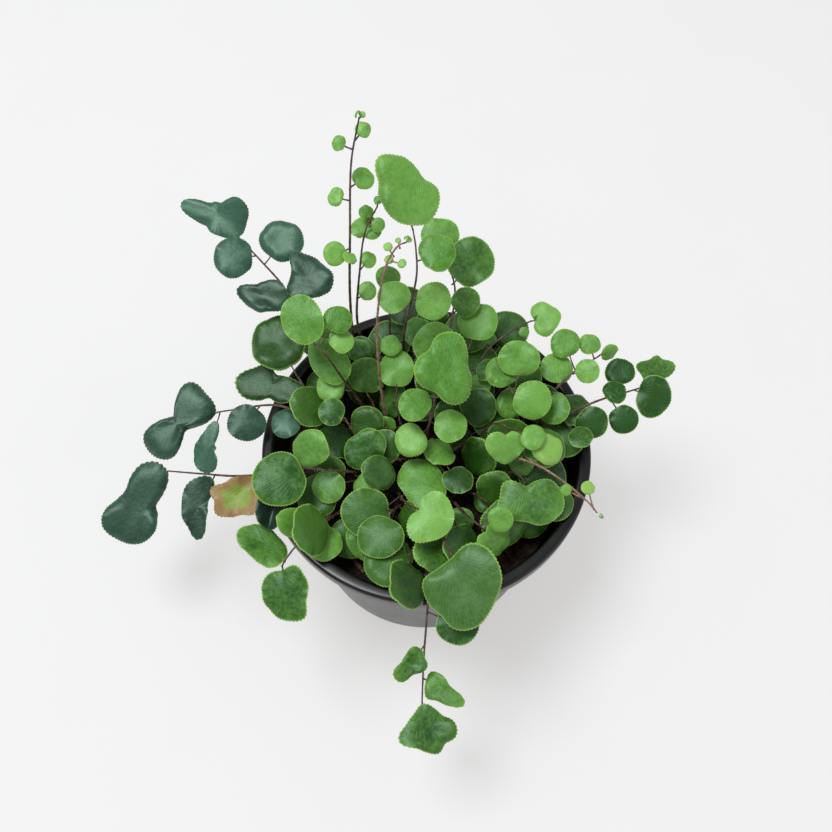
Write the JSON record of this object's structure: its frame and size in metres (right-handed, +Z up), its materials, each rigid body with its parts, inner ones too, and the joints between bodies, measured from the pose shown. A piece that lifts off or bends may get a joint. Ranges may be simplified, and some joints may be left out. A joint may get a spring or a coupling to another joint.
{
  "type": "potted button fern",
  "caption": "Button fern with round leathery leaflets on thin arching fronds, growing in a tapered black plastic pot filled with soil.",
  "frame": {"origin": "middle of the pot's base, on the surface it stands on", "axes": "+Z up along the axis of the pot, +X to the right and +Y to the back as seen from the front, where a frond hangs over the rim"},
  "size_m": [0.2139, 0.1999, 0.1871],
  "materials": {
    "pot_black": "satin black injection-moulded plastic",
    "soil": "dark damp potting soil, crumbly",
    "bark": "rough brown bark",
    "twig": "dry brown twig",
    "frond_bright": "waxy fresh green leaflets on a dark rachis",
    "frond_mid": "waxy mid green leaflets on a dark rachis",
    "frond_dark": "dark green leaflets on a dark rachis",
    "frond_teal": "old blue-green leaflets on a dark rachis",
    "frond_young": "tan hairy young rachis with green leaflets"
  },
  "bodies": {
    "root": {"pot": "pot_black", "soil": "soil", "bark_chip": "bark", "twig": "twig", "frond_tall_left": "frond_bright", "frond_tall_middle": "frond_bright", "frond_big_leaf": "frond_bright", "frond_young": "frond_young", "frond_back_right": "frond_mid", "frond_back_middle": "frond_mid", "frond_back_fan": "frond_mid", "frond_left_high": "frond_bright", "frond_upper_left": "frond_teal", "frond_left_dark": "frond_dark", "frond_mid_left": "frond_teal", "frond_lower_left": "frond_teal", "frond_inner_left": "frond_mid", "frond_centre": "frond_bright", "frond_centre_left": "frond_mid", "frond_crenate": "frond_mid", "frond_left_back": "frond_mid", "frond_back_small": "frond_mid", "frond_left_low": "frond_mid", "frond_front_middle": "frond_bright", "frond_right_inner": "frond_mid", "frond_right_high": "frond_mid", "frond_right_heart": "frond_bright", "frond_right_low": "frond_mid", "frond_bare_right": "frond_young", "frond_back_spray": "frond_bright", "frond_right_spray": "frond_bright", "frond_far_right": "frond_mid", "frond_front_right": "frond_mid", "frond_front_big": "frond_mid", "frond_front_left": "frond_mid", "frond_front_dull": "frond_mid", "frond_trailing": "frond_mid", "frond_low_1": "frond_dark", "frond_low_2": "frond_dark", "frond_low_3": "frond_dark", "frond_low_4": "frond_dark", "frond_low_5": "frond_dark", "frond_low_6": "frond_dark", "frond_low_7": "frond_dark", "frond_low_8": "frond_dark", "frond_low_9": "frond_dark", "frond_low_10": "frond_dark", "frond_low_11": "frond_dark", "frond_low_13": "frond_dark", "frond_low_14": "frond_dark", "frond_low_15": "frond_dark", "frond_low_16": "frond_dark", "frond_low_17": "frond_dark", "frond_inner_1": "frond_dark", "frond_inner_2": "frond_dark", "frond_inner_3": "frond_dark", "frond_inner_4": "frond_dark", "frond_inner_5": "frond_dark", "frond_inner_7": "frond_dark"}
  },
  "joints": []
}
